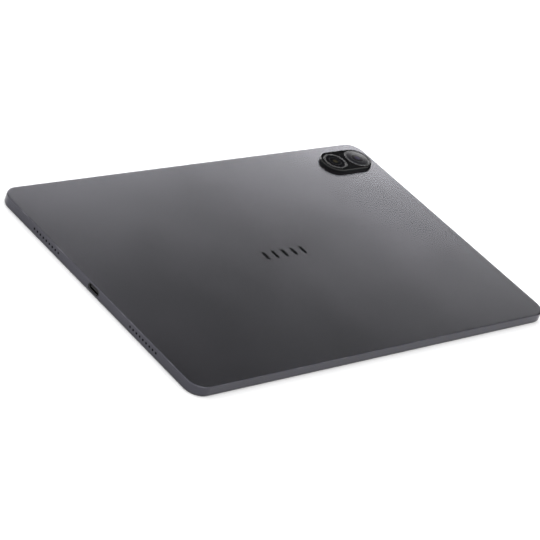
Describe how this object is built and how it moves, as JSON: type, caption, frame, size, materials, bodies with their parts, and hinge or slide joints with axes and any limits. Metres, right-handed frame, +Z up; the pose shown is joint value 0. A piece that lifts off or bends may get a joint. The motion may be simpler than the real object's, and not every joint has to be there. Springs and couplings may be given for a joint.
{
  "type": "tablet computer",
  "caption": "Slim tablet computer with a grey aluminium tray housing, glass front, raised rear camera block, edge keys, speaker rows and charging port.",
  "frame": {"origin": "on the outer face of the cover glass, under the middle of the body, so the tablet lies on its screen", "axes": "+X along the long side, away from the charging port; +Y toward the long side with the keys and the rear camera; +Z up out of the back"},
  "size_m": [0.277, 0.1796, 0.0083],
  "materials": {
    "housing_aluminium": "fine bead-blasted, grey anodised, soft satin",
    "key_aluminium": "fine bead-blasted, grey anodised",
    "front_glass": "polished black-backed cover glass, modelled opaque",
    "frame_plastic": "fine moulded matt black",
    "display_panel": "dark switched-off panel",
    "backlight_sheet": "silvered rear tray",
    "bump_gloss": "polished black",
    "ring_metal": "dark anodised, turned",
    "window_glass": "coated dark lens glass, modelled opaque",
    "chip_plastic": "moulded, matt black",
    "led_cap": "yellow phosphor cap",
    "steel_sheet": "rolled, nickel plated",
    "flex_film": "amber polyimide film",
    "port_steel": "drawn, nickel plated",
    "port_plastic": "moulded black with bright contacts",
    "screw_steel": "zinc plated",
    "circuit_board": "green solder mask",
    "graphite_film": "dark graphite film",
    "speaker_plastic": "moulded, matt black",
    "dust_mesh": "fine woven mesh",
    "battery_wrap": "laminated pouch film",
    "magnet_metal": "nickel plated"
  },
  "bodies": {
    "case": {"rear_housing": "housing_aluminium", "cover_glass": "front_glass", "display_frame": "frame_plastic", "display_cell": "display_panel", "backlight_unit": "backlight_sheet", "camera_bump": "bump_gloss", "flash_ring": "ring_metal", "lens_ring": "ring_metal", "flash_window": "window_glass", "lens_window": "window_glass", "camera_module": "chip_plastic", "flash_led": "led_cap", "power_switch": "steel_sheet", "volume_up_switch": "steel_sheet", "volume_down_switch": "steel_sheet", "key_flex": "flex_film", "usb_c_shell": "port_steel", "usb_c_tongue": "port_plastic", "port_bracket": "steel_sheet", "port_screw_1": "screw_steel", "port_screw_2": "screw_steel", "board_screw_1": "screw_steel", "board_screw_2": "screw_steel", "board_screw_3": "screw_steel", "board_screw_4": "screw_steel", "main_board": "circuit_board", "port_board": "circuit_board", "battery_board": "circuit_board", "display_driver_board": "circuit_board", "processor_chip": "chip_plastic", "memory_chip": "chip_plastic", "power_chip": "chip_plastic", "storage_chip": "chip_plastic", "upper_shield": "steel_sheet", "lower_shield": "steel_sheet", "heat_spreader": "graphite_film", "speaker_left_lower": "speaker_plastic", "speaker_left_upper": "speaker_plastic", "speaker_right_lower": "speaker_plastic", "speaker_right_upper": "speaker_plastic", "dust_mesh_left_lower": "dust_mesh", "dust_mesh_left_upper": "dust_mesh", "dust_mesh_right_lower": "dust_mesh", "dust_mesh_right_upper": "dust_mesh", "battery_cell_left": "battery_wrap", "battery_cell_right": "battery_wrap", "battery_flex": "flex_film", "port_flex": "flex_film", "display_flex": "flex_film", "camera_flex": "flex_film", "front_camera": "chip_plastic", "microphone": "steel_sheet", "antenna_left": "flex_film", "antenna_right": "flex_film", "cover_magnet_left": "magnet_metal", "cover_magnet_right": "magnet_metal"},
    "power_key": {"power_key": "key_aluminium"},
    "volume_rocker": {"volume_rocker": "key_aluminium"},
    "focus_lens": {"lens_barrel": "chip_plastic"}
  },
  "joints": [
    {"name": "power_press", "type": "slide", "parent": "case", "child": "power_key", "axis": [0, -1, 0], "range_m": [0, 0.00025], "stiffness_N_per_m": 4000, "springref_m": -0.0002},
    {"name": "volume_rock", "type": "hinge", "parent": "case", "child": "volume_rocker", "pos_m": [0.072, 0.0873, 0.0036], "axis": [0, 0, 1], "range_deg": [-1.2, 1.2], "stiffness_Nm_per_rad": 0.4},
    {"name": "lens_focus", "type": "slide", "parent": "case", "child": "focus_lens", "axis": [0, 0, 1], "range_m": [0, 0.0003], "stiffness_N_per_m": 120, "springref_m": -0.0003}
  ]
}
